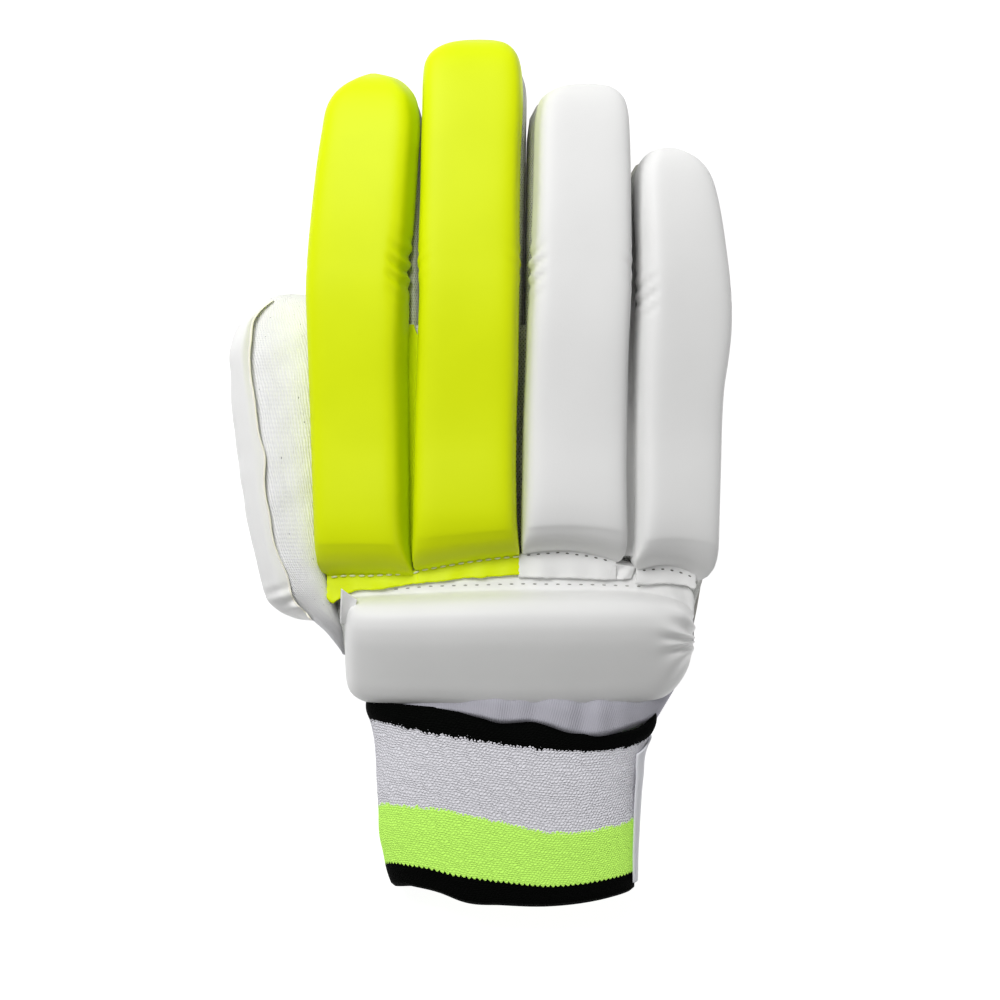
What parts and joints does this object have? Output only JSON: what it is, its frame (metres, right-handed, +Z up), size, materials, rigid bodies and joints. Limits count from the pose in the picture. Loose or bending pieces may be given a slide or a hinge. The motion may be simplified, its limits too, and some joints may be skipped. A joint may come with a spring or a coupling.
{
  "type": "cricket batting glove",
  "caption": "Right-hand cricket batting glove: foam finger rolls, padded thumb guard, wrist pad and knitted striped cuff on a leather palm.",
  "frame": {"origin": "middle of the glove's outline, on the surface that it lies on", "axes": "+Y towards the fingertips, +Z up from the palm to the back of the hand, +X towards the little finger; the thumb is on the -X side"},
  "size_m": [0.1696, 0.2948, 0.047],
  "materials": {
    "palm_leather": "soft white glove leather with a fine grain",
    "mesh_fabric": "white mesh cloth",
    "lime_vinyl": "smooth satin coated cloth in bright lime",
    "white_vinyl": "smooth satin coated cloth in white",
    "thumb_knit": "white ribbed knit",
    "lining_cloth": "thin fine-ribbed white cloth",
    "cuff_knit": "elastic knit with black, pale grey and neon green stripes",
    "closure_tape": "pale woven tape"
  },
  "bodies": {
    "root": {"palm": "palm_leather", "back_panel": "mesh_fabric", "index_stall": "mesh_fabric", "middle_stall": "mesh_fabric", "ring_stall": "mesh_fabric", "little_stall": "mesh_fabric", "index_roll": "lime_vinyl", "middle_roll": "lime_vinyl", "ring_roll": "white_vinyl", "little_roll": "white_vinyl", "thumb_stall": "thumb_knit", "thumb_pad": "white_vinyl", "wrist_pad": "white_vinyl", "gathered_lining": "lining_cloth", "cuff": "cuff_knit", "cuff_closure": "closure_tape"}
  },
  "joints": []
}
